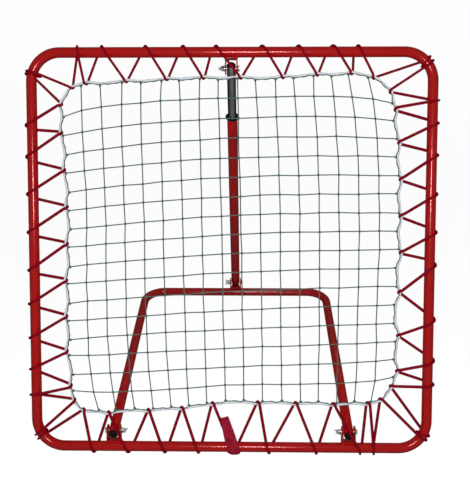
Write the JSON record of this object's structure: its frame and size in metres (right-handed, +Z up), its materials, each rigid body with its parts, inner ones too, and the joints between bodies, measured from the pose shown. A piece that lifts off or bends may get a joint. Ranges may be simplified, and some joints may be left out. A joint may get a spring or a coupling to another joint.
{
  "type": "rebound net",
  "caption": "Square tubular steel frame with a laced rebound net, leaning on a hinged U-shaped stand and a telescoping strut that sets its angle.",
  "frame": {"origin": "on the floor, at the middle of the whole object's outline seen from above", "axes": "+Z up, +X along the frame's bottom tube to the right as seen from the net side, the net faces -Y and the stand reaches back to +Y"},
  "size_m": [1.0132, 0.739, 0.9085],
  "materials": {
    "red_paint": "gloss powder coat, bright red over steel tube",
    "black_tube": "black satin coat with rub marks from sliding",
    "zinc": "bright zinc plate",
    "black_plastic": "moulded black plastic",
    "twine": "dark green knotted twine",
    "border_rope": "whitish twisted rope",
    "elastic_cord": "crimson braided sheath over elastic",
    "tie_fabric": "crimson brushed fabric strip"
  },
  "bodies": {
    "stand": {"leg_frame": "red_paint", "leg_cap_left": "black_plastic", "leg_cap_right": "black_plastic", "foot_bracket": "red_paint", "foot_bolt": "zinc", "foot_washer": "zinc"},
    "frame": {"frame_ring": "red_paint", "hinge_bracket_left": "red_paint", "hinge_bracket_right": "red_paint", "top_bracket": "red_paint", "hinge_left_bolt": "zinc", "hinge_left_washer": "zinc", "hinge_right_bolt": "zinc", "hinge_right_washer": "zinc", "top_bolt": "zinc", "top_washer": "zinc", "net": "twine", "border_rope": "border_rope", "bungee_top": "elastic_cord", "bungee_right": "elastic_cord", "bungee_bottom": "elastic_cord", "bungee_left": "elastic_cord", "bungee_knot": "elastic_cord", "cord_tie": "tie_fabric"},
    "strut_inner": {"strut_inner_tube": "black_tube", "strut_top_plug": "black_plastic"},
    "strut_outer": {"strut_outer_tube": "red_paint", "strut_collar": "black_plastic", "lock_nut": "red_paint"},
    "hinge_left_nut": {"hinge_left_wing_nut": "zinc"},
    "hinge_right_nut": {"hinge_right_wing_nut": "zinc"},
    "top_nut": {"top_wing_nut": "zinc"},
    "foot_nut": {"foot_wing_nut": "zinc"},
    "lock": {"lock_screw": "zinc"}
  },
  "joints": [
    {"name": "frame_tilt", "type": "hinge", "parent": "stand", "child": "frame", "pos_m": [0, -0.32149, 0.05043], "axis": [1, 0, 0], "range_deg": [-10, 8]},
    {"name": "strut_swing", "type": "hinge", "parent": "frame", "child": "strut_inner", "pos_m": [0, 0.09112, 0.84983], "axis": [1, 0, 0], "range_deg": [-2.2, 2.7]},
    {"name": "strut_extend", "type": "slide", "parent": "strut_inner", "child": "strut_outer", "axis": [0, 0.3117, -0.9502], "range_m": [-0.114, 0.092]},
    {"name": "hinge_left_nut_spin", "type": "hinge", "parent": "frame", "child": "hinge_left_nut", "pos_m": [-0.272, -0.32149, 0.05043], "axis": [1, 0, 0], "continuous": true},
    {"name": "hinge_right_nut_spin", "type": "hinge", "parent": "frame", "child": "hinge_right_nut", "pos_m": [0.272, -0.32149, 0.05043], "axis": [-1, 0, 0], "continuous": true},
    {"name": "top_nut_spin", "type": "hinge", "parent": "frame", "child": "top_nut", "pos_m": [-0.0215, 0.09112, 0.84983], "axis": [-1, 0, 0], "continuous": true},
    {"name": "foot_nut_spin", "type": "hinge", "parent": "stand", "child": "foot_nut", "pos_m": [-0.024, 0.35356, 0.04971], "axis": [-1, 0, 0], "continuous": true},
    {"name": "lock_screw_spin", "type": "hinge", "parent": "strut_outer", "child": "lock", "pos_m": [0, 0.15127, 0.66644], "axis": [0, 0.9502, 0.3117], "continuous": true}
  ],
  "couplings": [
    {"joint": "strut_swing", "follows": "frame_tilt", "ratio": -0.2441},
    {"joint": "strut_extend", "follows": "frame_tilt", "m_per_rad": 0.6439}
  ]
}
